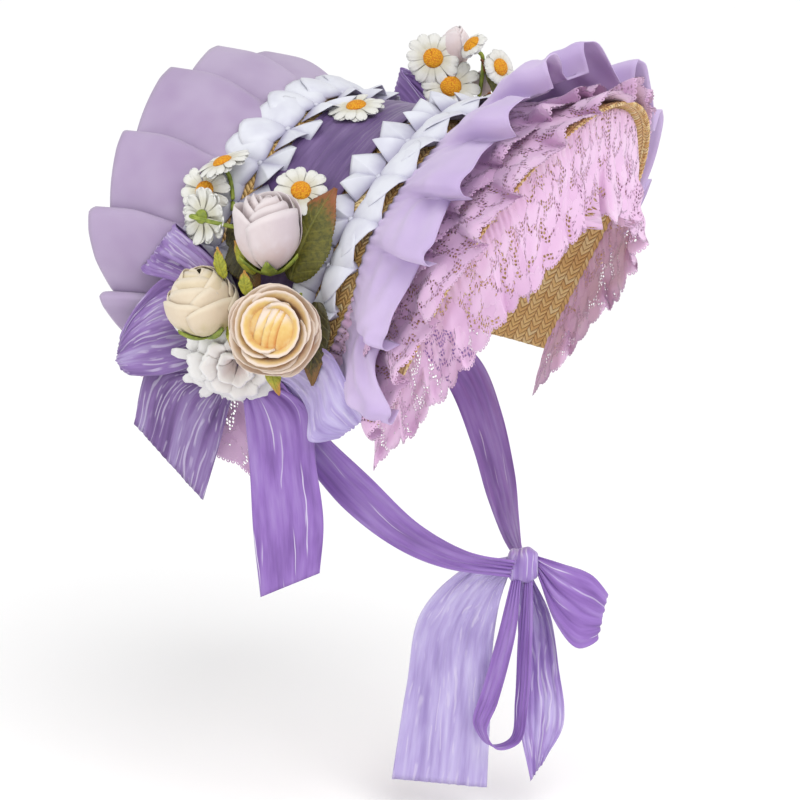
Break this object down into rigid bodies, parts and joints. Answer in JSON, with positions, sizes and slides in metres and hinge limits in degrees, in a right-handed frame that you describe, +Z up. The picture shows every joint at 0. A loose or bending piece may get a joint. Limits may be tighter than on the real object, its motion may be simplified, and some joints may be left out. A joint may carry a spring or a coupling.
{
  "type": "straw bonnet with ruffles, lace, flowers and ribbon ties",
  "caption": "Ruffled straw half bonnet with lace brim, pleated trims, silk flowers, side bows and ribbon ties knotted under the chin.",
  "frame": {"origin": "underside of the top of the crown, where the bonnet rests on the head", "axes": "+Z up, -Y towards the open front of the brim, -X towards the right side"},
  "size_m": [0.3179, 0.305, 0.4751],
  "materials": {
    "straw": "woven straw braid",
    "crown_ribbon": "crinkled satin",
    "purple_ribbon": "crinkled satin",
    "white_satin": "satin",
    "front_chiffon": "matte chiffon",
    "back_chiffon": "matte chiffon",
    "lace": "floral lace",
    "rose": "silk petals",
    "peony": "silk petals",
    "rosebud": "silk petals",
    "carnation": "silk petals",
    "daisy": "silk petals",
    "leaf": "printed silk leaf"
  },
  "bodies": {
    "root": {"straw_base": "straw", "crown_ribbon": "crown_ribbon", "front_petal_trim": "white_satin", "back_petal_trim": "white_satin", "front_chiffon_ruffle": "front_chiffon", "back_chiffon_ruffle": "back_chiffon", "outer_lace_upper": "lace", "outer_lace_lower": "lace", "under_brim_lace": "lace", "back_lace": "lace", "tie_right": "purple_ribbon", "tie_left": "purple_ribbon", "chin_bow_knot": "purple_ribbon", "chin_bow_left_loop": "purple_ribbon", "chin_bow_hanging_loop": "purple_ribbon", "chin_bow_right_tail": "purple_ribbon", "chin_bow_left_tail": "purple_ribbon", "side_bow_front_tail_right": "purple_ribbon", "side_bow_front_loop_right": "purple_ribbon", "side_bow_knot_right": "purple_ribbon", "side_bow_knot_left": "purple_ribbon", "side_bow_back_loop_right": "purple_ribbon", "side_bow_back_loop_left": "purple_ribbon", "side_bow_upper_loop_right": "purple_ribbon", "side_bow_upper_loop_left": "purple_ribbon", "side_bow_back_tail_right": "purple_ribbon", "side_bow_back_tail_left": "purple_ribbon", "rose_right": "rose", "peony_right": "peony", "rosebud_right": "rosebud", "carnation_right": "carnation", "daisy_right_1": "daisy", "daisy_right_2": "daisy", "daisy_right_3": "daisy", "daisy_right_4": "daisy", "ribbon_daisy": "daisy", "rose_left": "rose", "peony_left": "peony", "carnation_left": "carnation", "rosebud_left": "rosebud", "daisy_left_1": "daisy", "daisy_left_2": "daisy", "daisy_left_3": "daisy", "daisy_left_4": "daisy", "large_leaf_right": "leaf", "dark_leaf_right": "leaf", "large_leaf_left": "leaf"}
  },
  "joints": []
}
